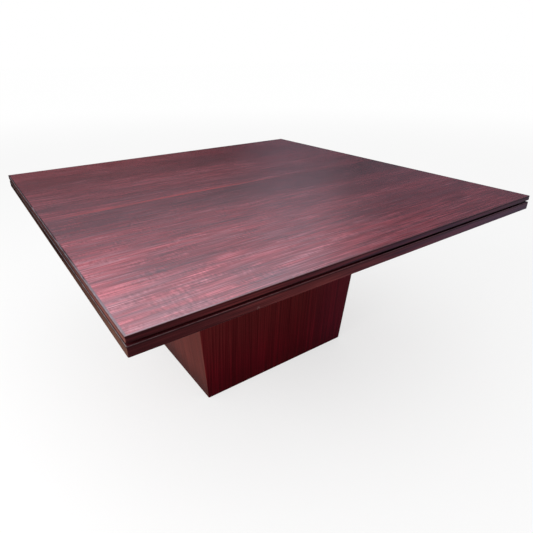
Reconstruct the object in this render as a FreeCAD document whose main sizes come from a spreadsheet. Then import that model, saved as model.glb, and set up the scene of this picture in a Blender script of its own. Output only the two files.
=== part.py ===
"""Square pedestal dining table, as a parametric assembly of its separate pieces.

Millimetres, +Z up. The origin is on the floor under the middle of the table. X runs along the grain
of the top, and the front of the table faces -Y.
"""
import FreeCAD, Part
import os

import Sketcher

# Driving dimensions of the table
DIMENSIONS = {
    # Top: a veneered panel with lippings, a recessed reveal, and a frame of rails below
    "top_side": 1524,
    "table_height": 762,
    "upper_thick": 16.5,
    "reveal_gap": 7,
    "lower_thick": 26.5,
    "veneer_thick": 0.7,
    "lipping_width": 5,
    "reveal_setback": 20,
    "lower_rail_width": 95,
    "corner_round": 3,
    "edge_round": 1.2,
    # Joints of the lower frame
    "spline_length": 60,
    "spline_width": 40,
    "spline_thick": 4,
    "dowel_radius": 5,
    "dowel_length": 60,
    "dowel_spread": 25,
    "glue_play": 0.1,
    # Bearers across the frame
    "bearer_width": 90,
    "bearer_inset": 119,
    "bearer_screw_end": 97,
    "bearer_screw_stagger": 28,
    # Wood screws
    "rail_screw_end": 162,
    "screw_length": 30,
    "screw_bite": 9,
    "screw_radius": 2.1,
    "screw_tip": 4,
    "screw_tip_radius": 0.4,
    "screw_head_radius": 4.5,
    "screw_head_height": 2.5,
    "screw_play": 0.1,
    "driver_play": 1,
    # Pedestal: four panels that lean outwards as they rise
    "base_x": 710,
    "base_y": 490,
    "base_lean": 54,
    "floor_gap": 4,
    "panel_thick": 18,
    "panel_corner_round": 2,
    "plate_thick": 18,
    "post_size": 50,
    "cleat_width": 22,
    "cleat_height": 30,
    # Bolts that hold the pedestal to the bearers
    "bolt_inset": 149,
    "bolt_radius": 4,
    "bolt_engagement": 16,
    "bolt_head_width": 13,
    "bolt_head_height": 5.3,
    "bolt_play": 0.1,
    "bolt_hole_play": 0.5,
    "washer_radius": 12,
    "washer_thick": 1.6,
    "insert_radius": 7,
    "insert_length": 18,
    # Levelling feet
    "pad_radius": 18,
    "pad_rim": 4,
    "pad_height": 10,
    "hub_radius": 9,
    "socket_depth": 5,
    "swivel_radius": 5,
    "collar_gap": 0.3,
    "collar_width": 13,
    "collar_height": 4,
    "stem_radius": 4,
    "stem_length": 35,
    "stem_play": 0.06,
    "stem_hole_play": 0.5,
    "stem_hole_end": 5,
    "nut_flange_radius": 11,
    "nut_flange_thick": 1.5,
    "nut_barrel_radius": 5.5,
    "nut_barrel_length": 12,
}

# Counts of what repeats
VENEER_LEAVES = 6
SCREWS_PER_RAIL = 5
SCREWS_PER_BEARER = 4

# Largest share of a wall's thickness that a rounded edge may take
WALL_SHARE = 0.8

# The sides of the table, as turns about its upright axis from the front
SIDES = {"front": 0, "right": 90, "back": 180, "left": 270}
BEARERS = {"left": -1, "centre": 0, "right": 1}
ENDS = {"front": -1, "back": 1}
PAIR = {"a": -1, "b": 1}
CORNERS = {"front_left": (-1, -1), "front_right": (1, -1), "back_left": (-1, 1), "back_right": (1, 1)}

# Levels and half sizes, worked out from the driving dimensions
HALF_TOP = "(dims.top_side / 2)"
FIELD = "(dims.top_side - 2 * dims.lipping_width)"
PANEL_UNDER = "(dims.table_height - dims.upper_thick)"
LOWER_TOP = f"({PANEL_UNDER} - dims.reveal_gap)"
LOWER_UNDER = f"({LOWER_TOP} - dims.lower_thick)"
LOWER_MIDDLE = f"({LOWER_UNDER} + dims.lower_thick / 2)"
FRAME_INSIDE = f"({HALF_TOP} - dims.lower_rail_width)"
REVEAL_MIDDLE = f"({HALF_TOP} - (dims.reveal_setback + dims.lower_rail_width) / 2)"
BEARER_PLACE = "(dims.base_x / 2 + dims.base_lean - dims.bearer_inset)"
BOLT_PLACE = "(dims.base_y / 2 + dims.base_lean - dims.bolt_inset)"
PLATE_UNDER = f"({LOWER_UNDER} - dims.plate_thick)"
PANEL_RISE = f"({LOWER_UNDER} - dims.floor_gap)"
RIDGE = "((dims.base_x - dims.base_y) / 2)"
TOP_SCREW_SEAT = f"({PANEL_UNDER} - dims.screw_length + dims.screw_bite)"
CLEAT_SCREW_SEAT = f"({PLATE_UNDER} - dims.screw_length + dims.screw_bite)"
CLEAT_UNDER = f"({PLATE_UNDER} - dims.cleat_height)"
FOOT_X = "(dims.base_x / 2 - dims.panel_thick - dims.post_size / 2)"
FOOT_Y = "(dims.base_y / 2 - dims.panel_thick - dims.post_size / 2)"
SOCKET_FLOOR = "(dims.pad_height - dims.socket_depth)"
COLLAR_UNDER = "(dims.pad_height + dims.collar_gap)"
COLLAR_TOP = f"({COLLAR_UNDER} + dims.collar_height)"
FLANGE_UNDER = f"({COLLAR_TOP} + dims.collar_gap)"
POST_UNDER = f"({FLANGE_UNDER} + dims.nut_flange_thick)"
BARREL_TOP = f"({POST_UNDER} + dims.nut_barrel_length)"
STEM_TOP = f"({COLLAR_TOP} + dims.stem_length)"
STEM_HOLE_TOP = f"({STEM_TOP} + dims.stem_hole_end)"
ACROSS_FLATS_TO_CORNER = "/ sqrt(3)"

doc = FreeCAD.newDocument("square_dining_table")
sheet = doc.addObject("Spreadsheet::Sheet", "dims")
for row, (alias, value) in enumerate(DIMENSIONS.items(), start=1):
    sheet.set(f"A{row}", alias)
    sheet.set(f"B{row}", str(value))
    sheet.setAlias(f"B{row}", alias)
doc.recompute()

pieces = []


def keep(piece):
    """Counts an object as one of the table's own pieces."""
    pieces.append(piece)
    return piece


def bind(piece, **sizes):
    """Ties properties of an object to sizes of the sheet."""
    for name, size in sizes.items():
        piece.setExpression(name, size)
    return piece


def place(piece, x="0", y="0", z="0", turn=0, tilt=0):
    """Puts an object at x, y, z, turned with that place about the table's upright axis.

    A tilt first tips the object about its own X axis.
    """
    upright = FreeCAD.Rotation(FreeCAD.Vector(0, 0, 1), turn)
    tipped = FreeCAD.Rotation(FreeCAD.Vector(1, 0, 0), tilt)
    piece.Placement = FreeCAD.Placement(FreeCAD.Vector(), upright.multiply(tipped))
    piece.setExpression("Placement.Base.x", f"({x}) * cos({turn}) - ({y}) * sin({turn})")
    piece.setExpression("Placement.Base.y", f"({x}) * sin({turn}) + ({y}) * cos({turn})")
    piece.setExpression("Placement.Base.z", z)
    return piece


def block(name, length, width, height, x, y, z, turn=0):
    """Rectangular block with its lowest corner at x, y, z."""
    piece = doc.addObject("Part::Box", name)
    bind(piece, Length=length, Width=width, Height=height)
    return place(piece, x, y, z, turn)


def rod(name, radius, low, high, x="0", y="0", turn=0):
    """Upright round rod between two levels."""
    piece = doc.addObject("Part::Cylinder", name)
    bind(piece, Radius=radius, Height=f"({high}) - ({low})")
    return place(piece, x, y, low, turn)


def lying_rod(name, radius, length, x, y, z):
    """Round rod that lies along +Y from its end at x, y, z."""
    piece = doc.addObject("Part::Cylinder", name)
    bind(piece, Radius=radius, Height=length)
    return place(piece, x, y, z, tilt=-90)


def taper(name, low_radius, high_radius, low, high, x="0", y="0", turn=0):
    """Upright cone between two levels."""
    piece = doc.addObject("Part::Cone", name)
    bind(piece, Radius1=low_radius, Radius2=high_radius, Height=f"({high}) - ({low})")
    return place(piece, x, y, low, turn)


def hexagon(name, width, low, high, x, y):
    """Upright hexagon bar, width across its flats."""
    piece = doc.addObject("Part::Prism", name)
    piece.Polygon = 6
    bind(piece, Circumradius=f"({width}) {ACROSS_FLATS_TO_CORNER}", Height=f"({high}) - ({low})")
    return place(piece, x, y, low)


def wedge_sizes(low, high, x_span, y_span):
    """Sizes of a wedge that stands on its low level, from its spans at a level."""
    x_low, x_high = x_span(low), x_span(high)
    y_low, y_high = y_span(low), y_span(high)
    return {
        "Ymin": low, "Ymax": high,
        "Xmin": x_low[0], "Xmax": x_low[1],
        "X2min": x_high[0], "X2max": x_high[1],
        "Zmin": f"-({y_low[1]})", "Zmax": f"-({y_low[0]})",
        "Z2min": f"-({y_high[1]})", "Z2max": f"-({y_high[0]})",
    }


def frustum(name, low, high, x_span, y_span):
    """Solid whose rectangular plan changes evenly from a low level to a high one."""
    piece = doc.addObject("Part::Wedge", name)
    bind(piece, **wedge_sizes(low, high, x_span, y_span))
    return place(piece, tilt=90)


def sector(name, shift, turn):
    """Three-cornered space between two mitre planes, its sharp edge shifted back from the middle."""
    piece = doc.addObject("Part::Wedge", name)
    reach = "dims.top_side"
    bind(piece, Xmin=f"-{reach}", Xmax=reach, X2min="0", X2max="0", Ymin=f"-{reach}", Ymax="0")
    bind(piece, Zmin="0", Zmax="dims.table_height", Z2min="0", Z2max="dims.table_height")
    return place(piece, y=shift, turn=turn)


def fuse(name, parts):
    """One solid, or one tool, made of several."""
    piece = doc.addObject("Part::MultiFuse", name)
    piece.Shapes = parts
    return piece


def cut(name, base, tools):
    """The base with every tool taken out of it."""
    piece = doc.addObject("Part::Cut", name)
    piece.Base = base
    piece.Tool = fuse(f"{name}_tools", tools) if len(tools) > 1 else tools[0]
    return piece


def common(name, base, space):
    """What of the base lies in a space."""
    piece = doc.addObject("Part::Common", name)
    piece.Base = base
    piece.Tool = space
    return piece


def group(name, parts):
    """Several like pieces under one name, each still a solid of its own."""
    piece = doc.addObject("Part::Compound", name)
    piece.Links = parts
    return keep(piece)


def edges_where(shape, test):
    """Names of a shape's edges that pass a test."""
    return [f"Edge{number}" for number, edge in enumerate(shape.Edges, start=1) if test(edge)]


def middle(edge):
    """Point half way along an edge."""
    return edge.valueAt((edge.FirstParameter + edge.LastParameter) / 2)


def round_edges(body, feature, name, radius, test):
    """Rounds the edges of a body's feature that pass a test."""
    doc.recompute()
    rounded = body.newObject("PartDesign::Fillet", name)
    rounded.Base = (feature, edges_where(feature.Shape, test))
    return bind(rounded, Radius=radius)


def draw_square(sketch, half):
    """Adds a square about the sketch's origin, half a side given, to a sketch."""
    reach = sketch.evalExpression(half)
    corners = [FreeCAD.Vector(x * reach, y * reach) for x, y in ((-1, -1), (1, -1), (1, 1), (-1, 1))]
    lines = [
        sketch.addGeometry(Part.LineSegment(start, corners[(number + 1) % 4]), False)
        for number, start in enumerate(corners)
    ]
    for number, line in enumerate(lines):
        following = lines[(number + 1) % 4]
        sketch.addConstraint(Sketcher.Constraint("Coincident", line, 2, following, 1))
        direction = "Vertical" if number % 2 else "Horizontal"
        sketch.addConstraint(Sketcher.Constraint(direction, line))
    origin = (-1, 1)
    sketch.addConstraint(Sketcher.Constraint("Symmetric", lines[0], 1, lines[2], 1, *origin))
    for measure, line in (("DistanceX", lines[0]), ("DistanceY", lines[1])):
        side = sketch.addConstraint(Sketcher.Constraint(measure, line, 1, line, 2, 2 * reach))
        sketch.setExpression(f"Constraints[{side}]", f"2 * {half}")


def square_ring(name, outer, inner, low, height):
    """Body and pad of a flat square ring about the middle of the table."""
    body = doc.addObject("PartDesign::Body", name)
    sketch = body.newObject("Sketcher::SketchObject", f"{name}_outline")
    plane = next(item for item in body.Origin.OriginFeatures if item.Role == "XY_Plane")
    sketch.AttachmentSupport = [(plane, "")]
    sketch.MapMode = "FlatFace"
    sketch.setExpression("AttachmentOffset.Base.z", low)
    draw_square(sketch, outer)
    draw_square(sketch, inner)
    pad = body.newObject("PartDesign::Pad", f"{name}_pad")
    pad.Profile = sketch
    bind(pad, Length=height)
    return body, pad


def ease_ring(body, pad, inner, width, height):
    """Rounds a ring's outer corners in plan, and then its outer upper and lower edges."""
    inside = body.evalExpression(inner) + body.evalExpression(width) / 2
    half_height = body.evalExpression(height) / 2

    def is_outer_corner(edge):
        point = middle(edge)
        return edge.BoundBox.ZLength > half_height and abs(point.x) > inside

    def is_outer_arris(edge):
        point = middle(edge)
        return edge.BoundBox.ZLength < half_height and max(abs(point.x), abs(point.y)) > inside

    corner = f"min(dims.corner_round; {WALL_SHARE} * {width})"
    arris = f"min(dims.edge_round; {WALL_SHARE} * {height} / 2; {WALL_SHARE} * {corner})"
    corners = round_edges(body, pad, f"{body.Name}_corners", corner, is_outer_corner)
    round_edges(body, corners, f"{body.Name}_arrises", arris, is_outer_arris)


def mitred_rails(name, ring):
    """Four pieces of a ring, mitred at its corners, named by their sides."""
    for side, turn in SIDES.items():
        space = sector(f"{name}_{side}_space", "0", turn)
        keep(common(f"{name}_{side}", ring, space))


def outer_half(axis, level):
    """Half of the pedestal's outside width along an axis at a level."""
    lean = f"dims.base_lean * (({level}) - dims.floor_gap) / {PANEL_RISE}"
    return f"(dims.base_{axis} / 2 + {lean})"


def inner_half(axis, level):
    """Half of the pedestal's inside width along an axis at a level."""
    return f"({outer_half(axis, level)} - dims.panel_thick)"


def span(half, axis, sign=0, depth="0", stop="0"):
    """Function that gives the least and greatest place along an axis at a level.

    Sign 0 runs across the middle and stops short of both walls. Sign 1 or -1 is a strip of
    that depth against the wall on that side.
    """
    def at_level(level):
        wall = half(axis, level)
        if sign == 0:
            return f"-({wall} - {stop})", f"({wall} - {stop})"
        if sign > 0:
            return f"({wall} - {depth})", wall
        return f"-{wall}", f"-({wall} - {depth})"
    return at_level


def screw(name, seat, x, y, turn=0):
    """Wood screw that points up, with the underside of its head at the seat."""
    tip_start = f"({seat} + dims.screw_length - dims.screw_tip)"
    tip_end = f"({seat} + dims.screw_length)"
    head_under = f"({seat} - dims.screw_head_height)"
    head = rod(f"{name}_head", "dims.screw_head_radius", head_under, seat, x, y, turn)
    shank = rod(f"{name}_shank", "dims.screw_radius", seat, tip_start, x, y, turn)
    tip = taper(f"{name}_tip", "dims.screw_radius", "dims.screw_tip_radius", tip_start, tip_end, x, y, turn)
    return fuse(name, [head, shank, tip])


def screw_bore(name, seat, x, y, turn=0):
    """Hole for a screw's shank and tip."""
    radius = "dims.screw_radius + dims.screw_play"
    return rod(name, radius, seat, f"({seat} + dims.screw_length + dims.screw_play)", x, y, turn)


def screw_counterbore(name, under, seat, x, y, turn=0):
    """Wider hole in which a screw's head lies, from the face below up to its seat."""
    return rod(name, "dims.screw_head_radius + dims.driver_play", under, seat, x, y, turn)


def spread(number, count, reach):
    """Place of one of several spots spread evenly from -reach to reach."""
    share = 2 * number / (count - 1) - 1
    return f"{share} * {reach}"


def rail_screw_places():
    """Name, x, y and turn of each screw through the frame rails."""
    reach = f"({HALF_TOP} - dims.rail_screw_end)"
    for side, turn in SIDES.items():
        for number in range(SCREWS_PER_RAIL):
            x = spread(number, SCREWS_PER_RAIL, reach)
            yield f"rail_screw_{side}_{number}", x, f"-{REVEAL_MIDDLE}", turn


def bearer_screw_places(side):
    """Name, x and y of each screw through one bearer."""
    reach = f"({FRAME_INSIDE} - dims.bearer_screw_end)"
    for number in range(SCREWS_PER_BEARER):
        stagger = -1 if number % 2 else 1
        x = f"{BEARERS[side]} * {BEARER_PLACE} + {stagger} * dims.bearer_screw_stagger"
        yield f"bearer_screw_{side}_{number}", x, spread(number, SCREWS_PER_BEARER, reach)


def dowel_places(side):
    """Name, x and the frame's inner face in y, with its sign, of each dowel of one bearer."""
    for end_name, end in ENDS.items():
        for letter, offset in PAIR.items():
            x = f"{BEARERS[side]} * {BEARER_PLACE} + {offset} * dims.dowel_spread"
            yield f"dowel_{side}_{end_name}_{letter}", x, end


def bolt_places(side):
    """Name, x and y of each bolt of one bearer."""
    x = f"{BEARERS[side]} * {BEARER_PLACE}"
    for end_name, end in ENDS.items():
        yield f"{side}_{end_name}", x, f"{end} * {BOLT_PLACE}"


def cleat_screw_places(side):
    """Name, x and y of each screw through one top cleat."""
    across, along = ("y", "x") if side in ("front", "back") else ("x", "y")
    wall_sign = -1 if side in ("front", "left") else 1
    wall = f"{wall_sign} * ({inner_half(across, PLATE_UNDER)} - dims.cleat_width / 2)"
    for letter, sign in PAIR.items():
        run = f"{sign} * ({inner_half(along, PLATE_UNDER)} - dims.post_size) / 2"
        x, y = (run, wall) if along == "x" else (wall, run)
        yield f"cleat_screw_{side}_{letter}", x, y


# Upper panel: face veneer in leaves, core board and backing veneer
leaf_width = f"({FIELD} / {VENEER_LEAVES})"
group("face_veneer", [
    block(
        f"veneer_leaf_{number}", FIELD, leaf_width, "dims.veneer_thick",
        f"-{FIELD} / 2", f"{number} * {leaf_width} - {FIELD} / 2", "dims.table_height - dims.veneer_thick",
    )
    for number in range(VENEER_LEAVES)
])

rail_bores = [
    screw_bore(f"{name}_bore", TOP_SCREW_SEAT, x, y, turn) for name, x, y, turn in rail_screw_places()
]
bearer_bores = {
    side: [
        screw_bore(f"{name}_bore", TOP_SCREW_SEAT, x, y) for name, x, y in bearer_screw_places(side)
    ]
    for side in BEARERS
}
all_top_bores = rail_bores + [bore for bores in bearer_bores.values() for bore in bores]

core_thick = "(dims.upper_thick - 2 * dims.veneer_thick)"
core_board = block(
    "core_board", FIELD, FIELD, core_thick,
    f"-{FIELD} / 2", f"-{FIELD} / 2", f"{PANEL_UNDER} + dims.veneer_thick",
)
keep(cut("top_core", core_board, all_top_bores))
backing_sheet = block(
    "backing_sheet", FIELD, FIELD, "dims.veneer_thick", f"-{FIELD} / 2", f"-{FIELD} / 2", PANEL_UNDER,
)
keep(cut("backing_veneer", backing_sheet, all_top_bores))

# Edge lippings round the upper panel
lipping_inside = f"({FIELD} / 2)"
lipping_ring, lipping_pad = square_ring(
    "lipping_ring", HALF_TOP, lipping_inside, PANEL_UNDER, "dims.upper_thick",
)
ease_ring(lipping_ring, lipping_pad, lipping_inside, "dims.lipping_width", "dims.upper_thick")
mitred_rails("edge_lipping", lipping_ring)

# Reveal rails, set back from the edge to leave the dark slot
reveal_outside = f"({HALF_TOP} - dims.reveal_setback)"
reveal_ring = square_ring("reveal_ring", reveal_outside, FRAME_INSIDE, LOWER_TOP, "dims.reveal_gap")[0]
mitred_rails("reveal_rail", cut("reveal_ring_drilled", reveal_ring, rail_bores))

# Mitre splines in the corners of the lower frame, and the slots that hold them
spline_place = "((dims.top_side - dims.lower_rail_width) * sqrt(2) / 2)"
splines = []
spline_slots = []
for side, turn in SIDES.items():
    diagonal = turn - 45
    splines.append(block(
        f"spline_{side}", "dims.spline_length", "dims.spline_width", "dims.spline_thick",
        f"{spline_place} - dims.spline_length / 2", "-dims.spline_width / 2",
        f"{LOWER_MIDDLE} - dims.spline_thick / 2", diagonal,
    ))
    spline_slots.append(block(
        f"spline_slot_{side}", "dims.spline_length + 2 * dims.glue_play",
        "dims.spline_width + 2 * dims.glue_play", "dims.spline_thick + 2 * dims.glue_play",
        f"{spline_place} - dims.spline_length / 2 - dims.glue_play",
        "-dims.spline_width / 2 - dims.glue_play",
        f"{LOWER_MIDDLE} - dims.spline_thick / 2 - dims.glue_play", diagonal,
    ))
group("mitre_splines", splines)

# Dowels between the bearers and the front and back rails, and their holes
dowels = []
dowel_holes = {}
for bearer in BEARERS:
    dowel_holes[bearer] = []
    for name, x, end in dowel_places(bearer):
        start = f"{end} * {FRAME_INSIDE} - dims.dowel_length / 2"
        dowels.append(lying_rod(name, "dims.dowel_radius", "dims.dowel_length", x, start, LOWER_MIDDLE))
        dowel_holes[bearer].append(lying_rod(
            f"{name}_hole", "dims.dowel_radius + dims.glue_play", "dims.dowel_length + 2 * dims.glue_play",
            x, f"{start} - dims.glue_play", LOWER_MIDDLE,
        ))
group("bearer_dowels", dowels)

# Lower frame of mitred rails, flush with the lippings
lower_ring, lower_pad = square_ring("lower_ring", HALF_TOP, FRAME_INSIDE, LOWER_UNDER, "dims.lower_thick")
ease_ring(lower_ring, lower_pad, FRAME_INSIDE, "dims.lower_rail_width", "dims.lower_thick")
rail_counterbores = [
    screw_counterbore(f"{name}_counterbore", LOWER_UNDER, TOP_SCREW_SEAT, x, y, turn)
    for name, x, y, turn in rail_screw_places()
]
all_dowel_holes = [hole for holes in dowel_holes.values() for hole in holes]
lower_tools = rail_bores + rail_counterbores + spline_slots + all_dowel_holes
mitred_rails("lower_rail", cut("lower_ring_drilled", lower_ring, lower_tools))
group("rail_screws", [screw(name, TOP_SCREW_SEAT, x, y, turn) for name, x, y, turn in rail_screw_places()])

# Bearers across the frame, with the inserts that take the pedestal's bolts
insert_top = f"({LOWER_UNDER} + dims.insert_length)"
thread_radius = "dims.bolt_radius + dims.bolt_play"
inserts = []
bearer_screws = []
for side, sign in BEARERS.items():
    plain_bearer = block(
        f"bearer_{side}_block", "dims.bearer_width", f"2 * {FRAME_INSIDE}", f"{PANEL_UNDER} - {LOWER_UNDER}",
        f"{sign} * {BEARER_PLACE} - dims.bearer_width / 2", f"-{FRAME_INSIDE}", LOWER_UNDER,
    )
    tools = bearer_bores[side] + dowel_holes[side]
    for name, x, y in bearer_screw_places(side):
        tools.append(screw_counterbore(f"{name}_counterbore", LOWER_UNDER, TOP_SCREW_SEAT, x, y))
        bearer_screws.append(screw(name, TOP_SCREW_SEAT, x, y))
    for name, x, y in bolt_places(side):
        tools.append(rod(
            f"insert_hole_{name}", "dims.insert_radius + dims.glue_play",
            LOWER_UNDER, f"{insert_top} + dims.glue_play", x, y,
        ))
        sleeve = rod(f"insert_sleeve_{name}", "dims.insert_radius", LOWER_UNDER, insert_top, x, y)
        thread = rod(f"insert_thread_{name}", thread_radius, LOWER_UNDER, insert_top, x, y)
        inserts.append(cut(f"insert_{name}", sleeve, [thread]))
    keep(cut(f"bearer_{side}", plain_bearer, tools))
group("bearer_screws", bearer_screws)
group("threaded_inserts", inserts)

# Bolts and washers that hold the pedestal's top plate up against the bearers
washer_under = f"({PLATE_UNDER} - dims.washer_thick)"
bolt_end = f"({LOWER_UNDER} + dims.bolt_engagement)"
bolts = []
washers = []
plate_tools = []
for side in BEARERS:
    for name, x, y in bolt_places(side):
        head = hexagon(
            f"bolt_head_{name}", "dims.bolt_head_width",
            f"{washer_under} - dims.bolt_head_height", washer_under, x, y,
        )
        shank = rod(f"bolt_shank_{name}", "dims.bolt_radius", washer_under, bolt_end, x, y)
        bolts.append(fuse(f"bolt_{name}", [head, shank]))
        disc = rod(f"washer_disc_{name}", "dims.washer_radius", washer_under, PLATE_UNDER, x, y)
        eye = rod(f"washer_eye_{name}", thread_radius, washer_under, PLATE_UNDER, x, y)
        washers.append(cut(f"washer_{name}", disc, [eye]))
        plate_tools.append(rod(
            f"plate_hole_{name}", "dims.bolt_radius + dims.bolt_hole_play", PLATE_UNDER, LOWER_UNDER, x, y,
        ))
group("pedestal_bolts", bolts)
group("bolt_washers", washers)

# Pedestal panels, mitred along their leaning corners
pedestal_body = doc.addObject("PartDesign::Body", "pedestal_body")
pedestal_block = pedestal_body.newObject("PartDesign::AdditiveWedge", "pedestal_block")
outside = wedge_sizes("dims.floor_gap", LOWER_UNDER, span(outer_half, "x"), span(outer_half, "y"))
bind(pedestal_block, **outside)
pedestal_block.Placement.Rotation = FreeCAD.Rotation(FreeCAD.Vector(1, 0, 0), 90)
half_rise = pedestal_body.evalExpression(PANEL_RISE) / 2
round_edges(
    pedestal_body, pedestal_block, "pedestal_corners",
    f"min(dims.panel_corner_round; {WALL_SHARE} * dims.panel_thick)",
    lambda edge: edge.BoundBox.ZLength > half_rise,
)
pedestal_hollow = frustum(
    "pedestal_hollow", "dims.floor_gap", LOWER_UNDER, span(inner_half, "x"), span(inner_half, "y"),
)
pedestal_shell = cut("pedestal_shell", pedestal_body, [pedestal_hollow])
for side, turn in SIDES.items():
    shift = RIDGE if side in ("front", "back") else f"-{RIDGE}"
    keep(common(f"pedestal_panel_{side}", pedestal_shell, sector(f"pedestal_{side}_space", shift, turn)))

# Cleats along the panels, between the corner posts, under the top plate and at the floor
cleat_screws = []
for side in SIDES:
    across, along = ("y", "x") if side in ("front", "back") else ("x", "y")
    wall_sign = -1 if side in ("front", "left") else 1
    spans = {
        across: span(inner_half, across, wall_sign, depth="dims.cleat_width"),
        along: span(inner_half, along, stop="dims.post_size"),
    }
    plain_cleat = frustum(f"top_cleat_{side}_block", CLEAT_UNDER, PLATE_UNDER, spans["x"], spans["y"])
    cleat_tools = []
    for name, x, y in cleat_screw_places(side):
        bore = screw_bore(f"{name}_bore", CLEAT_SCREW_SEAT, x, y)
        plate_tools.append(bore)
        cleat_tools.append(bore)
        cleat_tools.append(screw_counterbore(f"{name}_counterbore", CLEAT_UNDER, CLEAT_SCREW_SEAT, x, y))
        cleat_screws.append(screw(name, CLEAT_SCREW_SEAT, x, y))
    keep(cut(f"top_cleat_{side}", plain_cleat, cleat_tools))
    keep(frustum(
        f"bottom_cleat_{side}", POST_UNDER, f"({POST_UNDER} + dims.cleat_height)", spans["x"], spans["y"],
    ))
group("cleat_screws", cleat_screws)

# Top plate of the pedestal, let in flush between the panels
plain_plate = frustum("plain_plate", PLATE_UNDER, LOWER_UNDER, span(inner_half, "x"), span(inner_half, "y"))
keep(cut("pedestal_top_plate", plain_plate, plate_tools))

# Corner posts, each with a tee nut and a levelling foot at its lower end
stem_bore = "dims.stem_radius + dims.stem_play"
tee_nuts = []
for corner, (x_sign, y_sign) in CORNERS.items():
    x = f"{x_sign} * {FOOT_X}"
    y = f"{y_sign} * {FOOT_Y}"
    plain_post = frustum(
        f"corner_post_{corner}_block", POST_UNDER, PLATE_UNDER,
        span(inner_half, "x", x_sign, depth="dims.post_size"),
        span(inner_half, "y", y_sign, depth="dims.post_size"),
    )
    barrel_hole = rod(
        f"barrel_hole_{corner}", "dims.nut_barrel_radius + dims.glue_play",
        POST_UNDER, f"{BARREL_TOP} + dims.glue_play", x, y,
    )
    stem_hole = rod(
        f"stem_hole_{corner}", "dims.stem_radius + dims.stem_hole_play", POST_UNDER, STEM_HOLE_TOP, x, y,
    )
    keep(cut(f"corner_post_{corner}", plain_post, [barrel_hole, stem_hole]))

    flange = rod(f"nut_flange_{corner}", "dims.nut_flange_radius", FLANGE_UNDER, POST_UNDER, x, y)
    barrel = rod(f"nut_barrel_{corner}", "dims.nut_barrel_radius", FLANGE_UNDER, BARREL_TOP, x, y)
    nut_thread = rod(f"nut_thread_{corner}", stem_bore, FLANGE_UNDER, BARREL_TOP, x, y)
    tee_nuts.append(cut(f"tee_nut_{corner}", fuse(f"nut_blank_{corner}", [flange, barrel]), [nut_thread]))

    swivel = rod(f"stem_swivel_{corner}", "dims.swivel_radius", SOCKET_FLOOR, COLLAR_UNDER, x, y)
    collar = hexagon(f"stem_collar_{corner}", "dims.collar_width", COLLAR_UNDER, COLLAR_TOP, x, y)
    thread = rod(f"stem_thread_{corner}", "dims.stem_radius", COLLAR_TOP, STEM_TOP, x, y)
    keep(fuse(f"foot_stem_{corner}", [swivel, collar, thread]))

    rim = rod(f"pad_rim_{corner}", "dims.pad_radius", "0", "dims.pad_rim", x, y)
    hub = taper(
        f"pad_hub_{corner}", "dims.pad_radius", "dims.hub_radius", "dims.pad_rim", "dims.pad_height", x, y,
    )
    socket = rod(
        f"pad_socket_{corner}", "dims.swivel_radius + dims.stem_play", SOCKET_FLOOR, "dims.pad_height", x, y,
    )
    keep(cut(f"foot_pad_{corner}", fuse(f"pad_blank_{corner}", [rim, hub]), [socket]))
group("tee_nuts", tee_nuts)

doc.recompute()

failed = [item.Name for item in doc.Objects if {"Invalid", "Error"} & set(item.State)]
if failed:
    raise RuntimeError(f"these objects did not build: {failed}")
for piece in pieces:
    if piece.Shape.isNull() or not piece.Shape.isValid() or not piece.Shape.Solids:
        raise RuntimeError(f"{piece.Label} has no valid solid")

os.makedirs("parts", exist_ok=True)
for piece in pieces:
    piece.Shape.exportStep(f"parts/{piece.Label}.step")
print(f"{len(pieces)} pieces written")
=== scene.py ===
"""Looks of the square pedestal dining table: materials, light, floor and the photo's camera."""
import math

import bpy
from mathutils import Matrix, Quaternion, Vector

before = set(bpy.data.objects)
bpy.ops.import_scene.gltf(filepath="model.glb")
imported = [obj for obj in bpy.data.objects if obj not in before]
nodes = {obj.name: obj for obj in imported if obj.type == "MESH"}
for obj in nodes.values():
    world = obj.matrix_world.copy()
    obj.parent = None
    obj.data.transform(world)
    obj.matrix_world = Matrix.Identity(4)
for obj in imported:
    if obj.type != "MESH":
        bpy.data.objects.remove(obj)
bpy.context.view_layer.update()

# Sizes of the table that the materials follow, in metres
HALF_TOP = 0.762
TABLE_HEIGHT = 0.762
LIPPING_FOOT = 0.7455
LOWER_TOP = 0.7385
LEAF_COUNT = 6
LEAF_FIELD = 1.514

# The photo's camera: place, direction in degrees, and lens on the sensor in millimetres
CAMERA_PLACE = (-0.9338, -1.4698, 1.2372)
CAMERA_AZIMUTH = 35.247
CAMERA_PITCH = 25.992
CAMERA_ROLL = -0.425
CAMERA_LENS = 29.364
CAMERA_SENSOR = 36.0
CAMERA_REACH = 200.0


# Helpers that build shader nodes
def put(tree, socket, value):
    """Links an input to another socket, or sets its own value."""
    if isinstance(value, bpy.types.NodeSocket):
        tree.links.new(value, socket)
    else:
        socket.default_value = value


def add(tree, kind, inputs=None, **settings):
    """A new node with its settings, and its inputs set to values or linked to sockets."""
    made = tree.nodes.new(kind)
    for name, value in settings.items():
        setattr(made, name, value)
    for name, value in (inputs or {}).items():
        put(tree, made.inputs[name], value)
    return made


def maths(tree, operation, *values):
    """Result of a Math node on numbers or sockets."""
    return add(tree, "ShaderNodeMath", dict(enumerate(values)), operation=operation).outputs[0]


def times(tree, first, second):
    """Product of two numbers or sockets."""
    return maths(tree, "MULTIPLY", first, second)


def scaled(tree, value, factor, onto):
    """A value times a factor, added onto a number or socket."""
    return maths(tree, "MULTIPLY_ADD", value, factor, onto)


def swing(tree, level, amount, onto):
    """Adds a level's departure from one half, times an amount, onto a value."""
    return scaled(tree, maths(tree, "SUBTRACT", level, 0.5), amount, onto)


def away(tree, value, middle):
    """How far a value is from a middle, to either side."""
    return maths(tree, "ABSOLUTE", maths(tree, "SUBTRACT", value, middle))


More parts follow.
